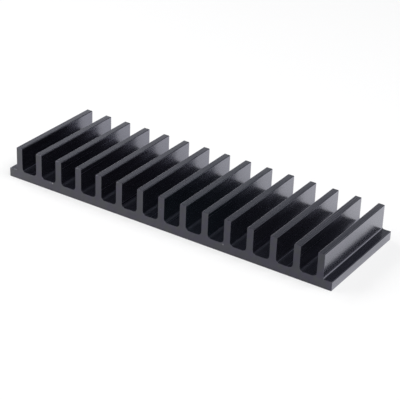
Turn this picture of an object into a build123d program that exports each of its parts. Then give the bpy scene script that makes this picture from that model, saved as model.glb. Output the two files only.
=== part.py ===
from build123d import *
import os

# A black anodised aluminium heat sink, cut from an extruded bar. One comb-shaped
# section runs straight through it: a flat base, a row of upright fins, and a plain
# flange beyond the outer fin on each side. It is one piece, with no holes.
#
# X runs across the fins, Y along the extrusion, and Z up from the flat mounting
# face. The origin is the centre of that face. Sizes are in millimetres.

# The bar
base_width = 160.0
cut_length = 50.0
overall_height = 15.0
base_thickness = 4.0

# The fins, spread evenly between the two flanges
fin_count = 15
fin_thickness = 3.0
flange_width = 4.0

# Radii of the die: inside corners, then outside ones
channel_root_radius = 1.8
flange_root_radius = 0.8
fin_tip_radius = 0.3
flange_edge_radius = 0.2
base_corner_radius = 0.3

# Worked out from the sizes above
fin_row_width = base_width - 2 * flange_width
fin_pitch = (fin_row_width - fin_thickness) / (fin_count - 1)
channel_width = fin_pitch - fin_thickness


def corners_at(section, height):
    """The section's corners at one height, from left to right."""
    near = section.vertices().filter_by_position(Axis.Y, height - 0.001, height + 0.001)
    return near.sort_by(Axis.X)


with BuildPart() as heat_sink:
    with BuildSketch(Plane.XZ) as section:
        # The base, and the fins standing through it from the same mounting face
        Rectangle(base_width, base_thickness, align=(Align.CENTER, Align.MIN))
        with GridLocations(fin_pitch, 0, fin_count, 1):
            Rectangle(fin_thickness, overall_height, align=(Align.CENTER, Align.MIN))

        # Floor level: a flange edge, a flange root, the channel roots, and the same back
        floor = corners_at(section, base_thickness)
        fillet(floor[2:-2], min(channel_root_radius, 0.49 * channel_width))
        floor = corners_at(section, base_thickness)
        fillet([floor[1], floor[-2]], flange_root_radius)
        floor = corners_at(section, base_thickness)
        fillet([floor[0], floor[-1]], flange_edge_radius)

        # Outside corners of the fin tips and of the mounting face
        fillet(corners_at(section, overall_height), min(fin_tip_radius, 0.49 * fin_thickness))
        fillet(corners_at(section, 0), base_corner_radius)

    # The sawn ends stand half the length each side of the origin
    extrude(amount=cut_length / 2, both=True)

heat_sink.part.label = "heat_sink"

os.makedirs("parts", exist_ok=True)
export_step(heat_sink.part, "parts/heat_sink.step")
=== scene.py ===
import math

import bpy
from mathutils import Matrix, Vector


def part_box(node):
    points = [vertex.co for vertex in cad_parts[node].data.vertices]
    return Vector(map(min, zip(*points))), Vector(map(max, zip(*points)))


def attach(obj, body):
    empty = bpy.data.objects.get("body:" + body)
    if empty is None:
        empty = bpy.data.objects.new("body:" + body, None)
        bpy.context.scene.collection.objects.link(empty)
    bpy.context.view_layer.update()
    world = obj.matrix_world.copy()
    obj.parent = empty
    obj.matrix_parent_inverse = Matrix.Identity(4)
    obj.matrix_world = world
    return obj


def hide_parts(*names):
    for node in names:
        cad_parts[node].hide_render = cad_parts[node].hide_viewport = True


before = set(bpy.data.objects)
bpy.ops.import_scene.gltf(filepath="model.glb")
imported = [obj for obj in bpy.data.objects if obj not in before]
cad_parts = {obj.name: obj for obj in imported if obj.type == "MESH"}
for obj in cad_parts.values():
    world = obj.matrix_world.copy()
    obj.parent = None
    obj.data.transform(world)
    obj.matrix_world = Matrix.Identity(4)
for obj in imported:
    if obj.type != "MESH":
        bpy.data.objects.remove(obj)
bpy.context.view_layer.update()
LOW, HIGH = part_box("heat_sink")

# Sizes of the section that the frame's box doesn't give, in metres
BASE_THICKNESS = 0.004
FIN_COUNT = 15
FIN_THICKNESS = 0.003
FLANGE_WIDTH = 0.004
CHANNEL_ROOT_RADIUS = 0.0018
FLANGE_ROOT_RADIUS = 0.0008
FIN_TIP_RADIUS = 0.0003
FLANGE_EDGE_RADIUS = 0.0002
BASE_CORNER_RADIUS = 0.0003
FIN_PITCH = (HIGH.x - LOW.x - 2 * FLANGE_WIDTH - FIN_THICKNESS) / (FIN_COUNT - 1)

# The section's corners before they are rounded, how many points draw each radius,
# and how near two points are to count as one
CORNERS_A_FIN = 4.0
CORNERS_OF_THE_BASE = 4.0
ARC_POINTS = 8
WELD_DISTANCE = 0.000001

# The small break that deburring leaves along the sawn edges, which are those that turn
# more than SHARP_ANGLE. It has the finish of the sawn ends, the piece's first material.
SAWN_EDGE_BREAK = 0.00008
SHARP_ANGLE = math.radians(60)
SAWN_SLOT = 0


# Helpers for node trees
def feed(tree, socket, value):
    """Links value to socket if it is a socket, and otherwise sets it there."""
    if isinstance(value, bpy.types.NodeSocket):
        tree.links.new(value, socket)
    else:
        socket.default_value = value


def add(tree, kind, inputs=None, **settings):
    """A new node with its settings, and its inputs set or linked by name or number."""
    node = tree.nodes.new(kind)
    for name, value in settings.items():
        setattr(node, name, value)
    for name, value in (inputs or {}).items():
        feed(tree, node.inputs[name], value)
    return node


def sums(tree, operation, first, second=0.0, third=0.0):
    """One Math node's result."""
    node = add(tree, "ShaderNodeMath", {0: first, 1: second, 2: third}, operation=operation)
    return node.outputs[0]


def either_side(tree, test):
    """1 where the test holds, else -1."""
    return sums(tree, "MULTIPLY_ADD", test, 2.0, -1.0)


def in_the_middle(tree, corner):
    """Whether a corner is the second or third of four that are numbered from 0."""
    return sums(tree, "COMPARE", corner, 1.5, 0.6)


def same(tree, first, second):
    """Whether two whole numbers are the same."""
    return sums(tree, "COMPARE", first, second, 0.1)


def choose(tree, test, when_true, when_false):
    """when_true where the test holds, else when_false, for two numbers."""
    node = add(tree, "GeometryNodeSwitch", {"Switch": test, "True": when_true, "False": when_false},
               input_type="FLOAT")
    return node.outputs[0]


def compare(tree, operation, first, second):
    """Whether two whole numbers compare as asked."""
    node = add(tree, "FunctionNodeCompare", data_type="INT", operation=operation)
    whole = [socket for socket in node.inputs if socket.type == "INT" and socket.enabled]
    feed(tree, whole[0], first)
    feed(tree, whole[1], second)
    return node.outputs[0]


# The extrusion
def extrusion_tree():
    """Geometry nodes for the finned bar: its section as one closed outline, filled and extruded."""
    tree = bpy.data.node_groups.new("finned_extrusion", "GeometryNodeTree")
    tree.interface.new_socket("Geometry", in_out="OUTPUT", socket_type="NodeSocketGeometry")
    lengths = ("Base Width", "Cut Length", "Overall Height", "Base Thickness", "Fin Thickness",
               "Flange Width", "Channel Root Radius", "Flange Root Radius", "Fin Tip Radius",
               "Flange Edge Radius", "Base Corner Radius")
    for name in lengths:
        tree.interface.new_socket(name, in_out="INPUT", socket_type="NodeSocketFloat")
    for name in ("Fin Count", "Arc Points"):
        tree.interface.new_socket(name, in_out="INPUT", socket_type="NodeSocketInt")
    for name in ("Die Finish", "Sawn Finish"):
        tree.interface.new_socket(name, in_out="INPUT", socket_type="NodeSocketMaterial")
    given = add(tree, "NodeGroupInput").outputs

    # The fins are spread evenly between the flanges, and numbered from the right
    half_width = sums(tree, "MULTIPLY", given["Base Width"], 0.5)
    half_fin = sums(tree, "MULTIPLY", given["Fin Thickness"], 0.5)
    fins_end = sums(tree, "SUBTRACT", half_width, given["Flange Width"])
    first_fin = sums(tree, "SUBTRACT", fins_end, half_fin)
    gaps = sums(tree, "SUBTRACT", given["Fin Count"], 1.0)
    pitch = sums(tree, "DIVIDE", sums(tree, "MULTIPLY", first_fin, 2.0), gaps)

    # The corners of a fin: right root, right tip, left tip, left root
    index = add(tree, "GeometryNodeInputIndex").outputs[0]
    number = sums(tree, "FLOOR", sums(tree, "DIVIDE", index, CORNERS_A_FIN))
    corner = sums(tree, "MODULO", index, CORNERS_A_FIN)
    fin_middle = sums(tree, "SUBTRACT", first_fin, sums(tree, "MULTIPLY", number, pitch))
    on_right = sums(tree, "LESS_THAN", corner, 1.5)
    fin_x = sums(tree, "MULTIPLY_ADD", either_side(tree, on_right), half_fin, fin_middle)
    at_tip = in_the_middle(tree, corner)
    fin_z = choose(tree, at_tip, given["Overall Height"], given["Base Thickness"])

    # Then those of the base: left flange, left and right of the mounting face, right flange
    fin_corners = sums(tree, "MULTIPLY", given["Fin Count"], CORNERS_A_FIN)
    base_corner = sums(tree, "SUBTRACT", index, fin_corners)
    on_base = compare(tree, "GREATER_EQUAL", index, fin_corners)
    base_right = sums(tree, "GREATER_THAN", base_corner, 1.5)
    base_x = sums(tree, "MULTIPLY", either_side(tree, base_right), half_width)
    at_mounting_face = in_the_middle(tree, base_corner)
    base_z = choose(tree, at_mounting_face, 0.0, given["Base Thickness"])

    # Each corner's radius
    last_fin_corner = sums(tree, "SUBTRACT", fin_corners, 1.0)
    outer_root = sums(tree, "ADD", same(tree, index, 0.0), same(tree, index, last_fin_corner))
    root_radius = choose(tree, outer_root, given["Flange Root Radius"], given["Channel Root Radius"])
    fin_radius = choose(tree, at_tip, given["Fin Tip Radius"], root_radius)
    base_radius = choose(tree, at_mounting_face, given["Base Corner Radius"], given["Flange Edge Radius"])
    radius = choose(tree, on_base, base_radius, fin_radius)

    # The outline, closed and rounded
    place = add(tree, "ShaderNodeCombineXYZ", {
        "X": choose(tree, on_base, base_x, fin_x),
        "Y": choose(tree, on_base, base_z, fin_z),
    }).outputs[0]
    corner_count = sums(tree, "ADD", fin_corners, CORNERS_OF_THE_BASE)
    corners = add(tree, "GeometryNodePoints", {"Count": corner_count, "Position": place}).outputs[0]
    line = add(tree, "GeometryNodePointsToCurves", {"Points": corners}).outputs[0]
    loop = add(tree, "GeometryNodeSetSplineCyclic", {"Geometry": line, "Cyclic": True}).outputs[0]
    rounded = add(tree, "GeometryNodeFilletCurve", {"Curve": loop, "Radius": radius,
                                                    "Count": given["Arc Points"]}, mode="POLY").outputs[0]

    # One sawn end is the outline filled, and the walls and the other end are extruded from it
    end = add(tree, "GeometryNodeFillCurve", {"Curve": rounded}, mode="NGONS").outputs[0]
    turned = add(tree, "GeometryNodeFlipFaces", {"Mesh": end}).outputs[0]
    along = add(tree, "ShaderNodeCombineXYZ", {
        "Z": sums(tree, "MULTIPLY", given["Cut Length"], -1.0),
    }).outputs[0]
    walls = add(tree, "GeometryNodeExtrudeMesh", {"Mesh": turned, "Offset": along, "Offset Scale": 1.0,
                                                  "Individual": False}, mode="FACES")
    both = add(tree, "GeometryNodeJoinGeometry")
    tree.links.new(end, both.inputs[0])
    tree.links.new(walls.outputs["Mesh"], both.inputs[0])
    closed = add(tree, "GeometryNodeMergeByDistance", {"Geometry": both.outputs[0],
                                                       "Distance": WELD_DISTANCE}).outputs[0]

    # The outline was drawn flat: stand it up, with half the length each side of the origin
    back = add(tree, "ShaderNodeCombineXYZ", {
        "Y": sums(tree, "MULTIPLY", given["Cut Length"], -0.5),
    }).outputs[0]
    stood = add(tree, "GeometryNodeTransform", {"Geometry": closed, "Translation": back,
                                                "Rotation": (math.radians(90), 0.0, 0.0)}).outputs[0]
    smooth = add(tree, "GeometryNodeSetShadeSmooth", {"Geometry": stood}).outputs[0]
    real = add(tree, "GeometryNodeRealizeInstances", {"Geometry": smooth}).outputs[0]

    # The ends keep the sawn finish, and the walls between them get the die's
    sawn = add(tree, "GeometryNodeSetMaterial", {"Geometry": real,
                                                 "Material": given["Sawn Finish"]}).outputs[0]
    dressed = add(tree, "GeometryNodeSetMaterial", {"Geometry": sawn, "Selection": walls.outputs["Side"],
                                                    "Material": given["Die Finish"]}).outputs[0]
    add(tree, "NodeGroupOutput", {"Geometry": dressed})
    return tree


def set_inputs(modifier, values):
    """Sets a Geometry Nodes modifier's inputs, each by its socket's identifier."""
    named = {item.name: item.identifier for item in modifier.node_group.interface.items_tree
             if item.item_type == "SOCKET" and item.in_out == "INPUT"}
    for name, value in values.items():
        modifier[named[name]] = value


def plain_mesh(source, name):
    """The evaluated object as a plain mesh object of its own."""
    depsgraph = bpy.context.evaluated_depsgraph_get()
    mesh = bpy.data.meshes.new_from_object(source.evaluated_get(depsgraph), depsgraph=depsgraph)
    piece = bpy.data.objects.new(name, mesh)
    bpy.context.scene.collection.objects.link(piece)
    bpy.data.objects.remove(source)
    return piece


def make_extrusion(wall_material, end_material):
    """The whole heat sink, its section taken from the frame's box and the sizes above."""
    maker = bpy.data.objects.new("extrusion_maker", bpy.data.meshes.new("extrusion_maker"))
    bpy.context.scene.collection.objects.link(maker)
    nodes = maker.modifiers.new("section", "NODES")
    nodes.node_group = extrusion_tree()
    set_inputs(nodes, {
        "Base Width": HIGH.x - LOW.x,
        "Cut Length": HIGH.y - LOW.y,
        "Overall Height": HIGH.z - LOW.z,
        "Base Thickness": BASE_THICKNESS,
        "Fin Count": FIN_COUNT,
        "Fin Thickness": FIN_THICKNESS,
        "Flange Width": FLANGE_WIDTH,
        "Channel Root Radius": CHANNEL_ROOT_RADIUS,
        "Flange Root Radius": FLANGE_ROOT_RADIUS,
        "Fin Tip Radius": FIN_TIP_RADIUS,
        "Flange Edge Radius": FLANGE_EDGE_RADIUS,
        "Base Corner Radius": BASE_CORNER_RADIUS,
        "Arc Points": ARC_POINTS,
        "Die Finish": wall_material,
        "Sawn Finish": end_material,
    })
    breaks = maker.modifiers.new("edge_breaks", "BEVEL")
    breaks.limit_method = "ANGLE"
    breaks.angle_limit = SHARP_ANGLE
    breaks.width = SAWN_EDGE_BREAK
    breaks.segments = 2
    breaks.material = SAWN_SLOT
    breaks.use_clamp_overlap = False
    weights = maker.modifiers.new("even_shading", "WEIGHTED_NORMAL")
    weights.weight = 100
    return plain_mesh(maker, "finned_extrusion")


# Finishes
# Colours are linear, and lengths are in metres on the part. A change of shade or roughness is
# four numbers: where it starts, where it ends, and what it gives before its start and after its end.

# The die's marks: their spacing across the bar, their depth, and how each is drawn out along the bar
FINE_LINE = 0.00028
FINE_DEPTH = 0.000010
FINE_STRETCH = (1.0, 0.002, 1.0)
BROAD_LINE = 0.0016
BROAD_DEPTH = 0.000008
BROAD_STRETCH = (1.0, 0.004, 1.0)
CLOUD = 0.012
CLOUD_STRETCH = (1.0, 0.35, 1.0)

# The dyed skin of the extruded faces, which is cooler over a few fins right of the bar's middle
SKIN = (0.0023, 0.0022, 0.0036, 1.0)
COOL_SKIN = (0.0008, 0.0028, 0.0040, 1.0)
COOL_MIDDLE = 0.012
COOLNESS = (0.008, 0.030, 1.0, 0.0)

# How much paler the skin gets towards the back end, from fin to fin and in fine streaks,
# and how rough it is
BACK_PALENESS = (0.012, HIGH.y, 0.0, 0.016)
FIN_TO_FIN = 0.001
FIN_SEED = 31.0
STREAKS = (0.45, 0.75, 0.0, 0.0015)
BROAD_ROUGHNESS = (0.3, 0.7, 0.22, 0.26)
FINE_ROUGHNESS = (0.3, 0.7, -0.02, 0.02)

# The worn front corner of the right flange's top, how far the wear reaches, and how much paler it is
WORN_CORNER = (HIGH.x, LOW.y, BASE_THICKNESS)
WORN_REACH = 0.0014
WORN_PALENESS = 0.035

# The saw: its blade's radius, and how far its centre stood above the bench
BLADE_RADIUS = 0.150
BLADE_HEIGHT = 0.060

# The marks on the sawn ends: their spacing and depth, and the width of the mottling in the dye
TOOTH_MARK = 0.00035
TOOTH_DEPTH = 0.000006
FEED_MARK = 0.0022
FEED_DEPTH = 0.000010
PIT = 0.00022
PIT_DEPTH = 0.000002
MOTTLE = 0.0035

# The dyed metal of the sawn ends, mottled between two tints. Painted shade darkens it towards the bar's
# right end, where less light falls, and painted light makes it paler along its lower edge, where the
# floor's shadow darkens it. It is also paler at its left end.
SAWN_METAL = (0.030, 0.027, 0.041, 1.0)
GREYER_METAL = (0.032, 0.033, 0.034, 1.0)
MOTTLING = (0.35, 0.65, 0.0, 1.0)
# Painted shade: the sawn ends grow darker towards the bar's right end
PAINTED_SHADE_TO_RIGHT = (-0.070, 0.080, -0.001, -0.019)
LEFT_END_PALENESS = (-0.080, -0.058, 0.016, 0.0)
# Painted light: the sawn ends are made paler along their lower edge, where the floor's shadow darkens
# them
LOWER_EDGE_PAINTED_LIGHT = (0.001, 0.006, 0.014, 0.0)
TOOTH_SHADE = (0.3, 0.75, -0.002, 0.003)
FEED_SHADE = (0.3, 0.7, -0.002, 0.002)
SAWN_ROUGHNESS = (0.2, 0.8, 0.40, 0.50)

# Pale specks on the sawn front: how far across and up each one is, its radius, and how much paler it is
SPECKS = (
    (0.0303, 0.0036, 0.00045, 0.12),
    (-0.0002, 0.0095, 0.00050, 0.02),
    (-0.0564, 0.0036, 0.00050, 0.22),
    (-0.0577, 0.0036, 0.00045, 0.06),
)

# The share of a pale spot's radius that is at its full paleness
SPOT_CORE = 0.4


def new_material(name):
    """An empty node material, and its tree."""
    material = bpy.data.materials.new(name)
    material.use_nodes = True
    material.node_tree.nodes.clear()
    return material, material.node_tree


def object_place(tree):
    """Where a point is on the part, and its distance across, along and up, in metres."""
    place = add(tree, "ShaderNodeTexCoord").outputs["Object"]
    parts = add(tree, "ShaderNodeSeparateXYZ", {"Vector": place}).outputs
    return place, parts["X"], parts["Y"], parts["Z"]


def drawn_out(tree, place, factors):
    """The place with each of its distances multiplied, which draws a pattern out along one of them."""
    return add(tree, "ShaderNodeVectorMath", {0: place, 1: factors}, operation="MULTIPLY").outputs[0]


def speckle(tree, place, spacing, detail=2.0):
    """Soft noise from 0 to 1 whose spots are about spacing wide."""
    node = add(tree, "ShaderNodeTexNoise", {"Vector": place, "Scale": 1.0 / spacing, "Detail": detail,
                                            "Roughness": 0.5}, noise_dimensions="3D")
    return node.outputs[0]


def lines_at(tree, distance, spacing):
    """Noise that changes only with one distance, so it draws lines about spacing wide."""
    node = add(tree, "ShaderNodeTexNoise", {"W": distance, "Scale": 1.0 / spacing, "Detail": 2.0,
                                            "Roughness": 0.6}, noise_dimensions="1D")
    return node.outputs[0]


def fade(tree, value, start, end, low=0.0, high=1.0):
    """A value that is low up to start, high from end on, and changes smoothly between them."""
    node = add(tree, "ShaderNodeMapRange", {"Value": value, "From Min": start, "From Max": end,
                                            "To Min": low, "To Max": high},
               interpolation_type="SMOOTHSTEP")
    return node.outputs[0]


def blend(tree, amount, first, second):
    """A colour between two others."""
    node = add(tree, "ShaderNodeMix", {0: amount, 6: first, 7: second}, data_type="RGBA")
    return node.outputs[2]


def grey_added(tree, colour, amount):
    """A colour with the same amount added to its red, green and blue."""
    grey = add(tree, "ShaderNodeCombineXYZ", {"X": amount, "Y": amount, "Z": amount}).outputs[0]
    return add(tree, "ShaderNodeVectorMath", {0: colour, 1: grey}, operation="ADD").outputs[0]


def total_of(tree, parts):
    """The sum of two or more values."""
    total = parts[0]
    for part in parts[1:]:
        total = sums(tree, "ADD", total, part)
    return total


def spot(tree, place, middle, radius, paleness):
    """A pale spot round a place, full at its core and gone at its radius."""
    away = add(tree, "ShaderNodeVectorMath", {0: place, 1: middle}, operation="DISTANCE").outputs["Value"]
    return fade(tree, away, SPOT_CORE * radius, radius, paleness, 0.0)


def relief(tree, marks):
    """Bump from several patterns, each with its depth in metres."""
    total = total_of(tree, [sums(tree, "MULTIPLY", pattern, depth) for pattern, depth in marks])
    return add(tree, "ShaderNodeBump", {"Height": total, "Strength": 1.0, "Distance": 1.0}).outputs[0]


def die_finish():
    """The extruded faces: fine lines along the bar under a satin black anodised skin."""
    material, tree = new_material("black_anodised_die_finish")
    place, across, along, _ = object_place(tree)

    # Lines left by the die run the whole length of the bar
    fine = speckle(tree, drawn_out(tree, place, FINE_STRETCH), FINE_LINE)
    broad = speckle(tree, drawn_out(tree, place, BROAD_STRETCH), BROAD_LINE)
    cloud = speckle(tree, drawn_out(tree, place, CLOUD_STRETCH), CLOUD, detail=1.0)

    # The dye took a little differently from fin to fin
    fin = sums(tree, "ROUND", sums(tree, "DIVIDE", across, FIN_PITCH))
    fin_shade = add(tree, "ShaderNodeTexWhiteNoise", {"W": sums(tree, "ADD", fin, FIN_SEED)},
                    noise_dimensions="1D").outputs[0]
    from_cool = sums(tree, "ABSOLUTE", sums(tree, "SUBTRACT", across, COOL_MIDDLE))
    tint = blend(tree, fade(tree, from_cool, *COOLNESS), SKIN, COOL_SKIN)
    lift = total_of(tree, [
        fade(tree, along, *BACK_PALENESS),
        sums(tree, "MULTIPLY", sums(tree, "ADD", fin_shade, cloud), FIN_TO_FIN),
        fade(tree, fine, *STREAKS),
        spot(tree, place, WORN_CORNER, WORN_REACH, WORN_PALENESS),
    ])

    roughness = total_of(tree, [fade(tree, broad, *BROAD_ROUGHNESS), fade(tree, fine, *FINE_ROUGHNESS)])
    shader = add(tree, "ShaderNodeBsdfPrincipled", {
        "Base Color": grey_added(tree, tint, lift),
        "Roughness": roughness,
        "IOR": 2.2,
        "Specular Tint": (0.76, 0.77, 1.0, 1.0),
        "Coat Weight": 1.0,
        "Coat Roughness": 0.21,
        "Coat IOR": 1.5,
        "Coat Tint": (0.97, 0.97, 1.0, 1.0),
        "Normal": relief(tree, [(fine, FINE_DEPTH), (broad, BROAD_DEPTH)]),
    })
    add(tree, "ShaderNodeOutputMaterial", {"Surface": shader.outputs[0]})
    return material


def sawn_finish():
    """The cut ends: matt, with the arcs that the saw's teeth left."""
    material, tree = new_material("black_anodised_sawn_finish")
    place, across, _, up = object_place(tree)

    # Each tooth cuts the same arc, a little further across the bar than the one before.
    # The whole metre that is added keeps the distance above zero.
    drop = sums(tree, "SUBTRACT", up, BLADE_HEIGHT)
    squared = sums(tree, "SUBTRACT", BLADE_RADIUS ** 2, sums(tree, "MULTIPLY", drop, drop))
    reach = sums(tree, "SQRT", squared)
    travel = sums(tree, "ADD", sums(tree, "SUBTRACT", across, reach), 1.0)
    teeth = lines_at(tree, travel, TOOTH_MARK)
    feed_marks = lines_at(tree, travel, FEED_MARK)
    mottle = speckle(tree, place, MOTTLE, detail=3.0)
    pits = speckle(tree, place, PIT, detail=1.0)

    tint = blend(tree, fade(tree, mottle, *MOTTLING), SAWN_METAL, GREYER_METAL)
    shades = [
        # painted shade, darker towards the bar's right end
        fade(tree, across, *PAINTED_SHADE_TO_RIGHT),
        fade(tree, across, *LEFT_END_PALENESS),
        # painted light, paler along the lower edge where the floor's shadow falls
        fade(tree, up, *LOWER_EDGE_PAINTED_LIGHT),
        fade(tree, teeth, *TOOTH_SHADE),
        fade(tree, feed_marks, *FEED_SHADE),
    ]
    for across_at, up_at, radius, paleness in SPECKS:
        shades.append(spot(tree, place, (across_at, LOW.y, up_at), radius, paleness))
    shader = add(tree, "ShaderNodeBsdfPrincipled", {
        "Base Color": grey_added(tree, tint, total_of(tree, shades)),
        "Roughness": fade(tree, teeth, *SAWN_ROUGHNESS),
        "IOR": 1.6,
        "Specular Tint": (0.86, 0.87, 1.0, 1.0),
        "Normal": relief(tree, [(teeth, TOOTH_DEPTH), (feed_marks, FEED_DEPTH), (pits, PIT_DEPTH)]),
    })
    add(tree, "ShaderNodeOutputMaterial", {"Surface": shader.outputs[0]})
    return material


# The stage
FLOOR_HALF = 3.0
FLOOR_COLOUR = (0.95, 0.95, 0.95, 1.0)
WHITE = (1.0, 1.0, 1.0, 1.0)

# The camera sees the floor as this much white near the part, which keeps its shadow soft,
# and as plain white from FAR_FLOOR on. Reflections show the white only far off.
FLOOR_WHITE = 0.5
NEAR_FLOOR = 0.35
FAR_FLOOR = 1.2


def make_floor():
    """A plain white table that runs far past the camera's view, and fades into the white background."""
    mesh = bpy.data.meshes.new("floor")
    edge = FLOOR_HALF
    corners = [(-edge, -edge, 0), (edge, -edge, 0), (edge, edge, 0), (-edge, edge, 0)]
    mesh.from_pydata(corners, [], [(0, 1, 2, 3)])
    floor = bpy.data.objects.new("floor", mesh)
    bpy.context.scene.collection.objects.link(floor)
    material, tree = new_material("pale_floor")
    paint = add(tree, "ShaderNodeBsdfDiffuse", {"Color": FLOOR_COLOUR}).outputs[0]
    white = add(tree, "ShaderNodeEmission", {"Color": WHITE, "Strength": 1.0}).outputs[0]
    place = add(tree, "ShaderNodeTexCoord").outputs["Object"]
    distance = add(tree, "ShaderNodeVectorMath", {0: place}, operation="LENGTH").outputs["Value"]
    rays = add(tree, "ShaderNodeLightPath").outputs
    seen = sums(tree, "MAXIMUM", rays["Is Camera Ray"], rays["Is Glossy Ray"])
    far_off = sums(tree, "MULTIPLY", fade(tree, distance, NEAR_FLOOR, FAR_FLOOR), seen)
    close_by = sums(tree, "MULTIPLY", rays["Is Camera Ray"], FLOOR_WHITE)
    amount = sums(tree, "MAXIMUM", far_off, close_by)
    surface = add(tree, "ShaderNodeMixShader", {0: amount, 1: paint, 2: white}).outputs[0]
    add(tree, "ShaderNodeOutputMaterial", {"Surface": surface})
    mesh.materials.append(material)


# How bright the studio is at each height on a unit sphere round the part: white walls,
# and above WALL_TOP a dim, slightly cooler ceiling. The walls stand higher before and behind
# the part, along FACING, than beside it.
STUDIO = (
    (0.0, 1.0),
    (0.342, 0.95),
    (0.382, 0.20),
    (0.417, 0.12),
    (0.50, 0.05),
    (0.72, 0.04),
    (1.0, 0.02),
)
WALL_TOP = 0.36
WALL_TINT = (1.0, 1.0, 1.0)
CEILING_TINT = (0.92, 1.0, 1.15)
FACING = (-0.53, 0.848, 0.0)
HIGHER = 0.04


def make_world():
    """White surroundings that fade to a dim ceiling."""
    world = bpy.data.worlds.new("studio")
    world.use_nodes = True
    world.node_tree.nodes.clear()
    tree = world.node_tree
    direction = add(tree, "ShaderNodeTexCoord").outputs["Generated"]
    rise = add(tree, "ShaderNodeSeparateXYZ", {"Vector": direction}).outputs["Z"]
    facing = add(tree, "ShaderNodeVectorMath", {0: direction, 1: FACING},
                 operation="DOT_PRODUCT").outputs["Value"]
    raised = sums(tree, "MULTIPLY", sums(tree, "MULTIPLY", facing, facing), HIGHER)
    ramp = add(tree, "ShaderNodeValToRGB", {"Fac": sums(tree, "SUBTRACT", rise, raised)})
    stops = ramp.color_ramp.elements
    while len(stops) > 1:
        stops.remove(stops[-1])
    for number, (height, brightness) in enumerate(STUDIO):
        stop = stops[0] if number == 0 else stops.new(1.0)
        stop.position = height
        tint = CEILING_TINT if height > WALL_TOP else WALL_TINT
        stop.color = tuple(brightness * part for part in tint) + (1.0,)
    background = add(tree, "ShaderNodeBackground", {"Color": ramp.outputs[0], "Strength": 1.0})
    add(tree, "ShaderNodeOutputWorld", {"Surface": background.outputs[0]})
    bpy.context.scene.world = world


# Each softbox: its turn from the part's right and its rise in degrees, its distance, width and watts
SOFTBOXES = (
    ("left_front_softbox", 205, 40, 0.6, 0.28, 1.0),
    ("right_front_softbox", 315, 50, 1.0, 0.5, 3.3),
    ("right_softbox", 15, 55, 1.2, 0.8, 7.6),
    ("left_back_softbox", 165, 40, 1.0, 0.4, 2.6),
)

# Where they are aimed
PART_MIDDLE = (0.0, 0.0, 0.01)


def add_softbox(name, place, width, watts):
    """A square soft light at place, facing the part, which the camera doesn't see."""
    lamp = bpy.data.lights.new(name, "AREA")
    lamp.shape = "SQUARE"
    lamp.size = width
    lamp.energy = watts
    holder = bpy.data.objects.new(name, lamp)
    bpy.context.scene.collection.objects.link(holder)
    away = Vector(place) - Vector(PART_MIDDLE)
    holder.location = place
    holder.rotation_euler = away.to_track_quat("Z", "Y").to_euler()
    holder.visible_camera = False


def around(turn, rise, distance):
    """A place at a distance from the part, turned from its right and raised, both in degrees."""
    turn, rise = math.radians(turn), math.radians(rise)
    level = distance * math.cos(rise)
    return (level * math.cos(turn), level * math.sin(turn), distance * math.sin(rise))


# The camera, as solved from the photograph's edges
CAMERA_PLACE = Vector((0.28476, -0.44559, 0.28542))
CAMERA_FORWARD = Vector((-0.47181, 0.74558, -0.47064))
CAMERA_RIGHT = Vector((0.83393, 0.55067, 0.03637))
FOCAL_PIXELS = 1417.9
FRAME_PIXELS = 400
SENSOR_WIDTH = 36.0
NEAREST_SEEN = 0.01


def make_camera():
    """The camera at the photograph's angle and distance."""
    camera = bpy.data.cameras.new("camera")
    camera.sensor_width = SENSOR_WIDTH
    camera.lens = FOCAL_PIXELS / FRAME_PIXELS * SENSOR_WIDTH
    camera.clip_start = NEAREST_SEEN
    holder = bpy.data.objects.new("camera", camera)
    bpy.context.scene.collection.objects.link(holder)
    forward = CAMERA_FORWARD.normalized()
    right = (CAMERA_RIGHT - CAMERA_RIGHT.dot(forward) * forward).normalized()
    up = right.cross(forward)
    turn = Matrix((right, up, -forward)).transposed()
    holder.matrix_world = Matrix.Translation(CAMERA_PLACE) @ turn.to_4x4()
    bpy.context.scene.camera = holder


sink = make_extrusion(die_finish(), sawn_finish())
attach(sink, "root")
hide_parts("heat_sink")

make_floor()
make_world()
for name, turn, rise, distance, width, watts in SOFTBOXES:
    add_softbox(name, around(turn, rise, distance), width, watts)
make_camera()
bpy.context.scene.view_settings.view_transform = "Standard"
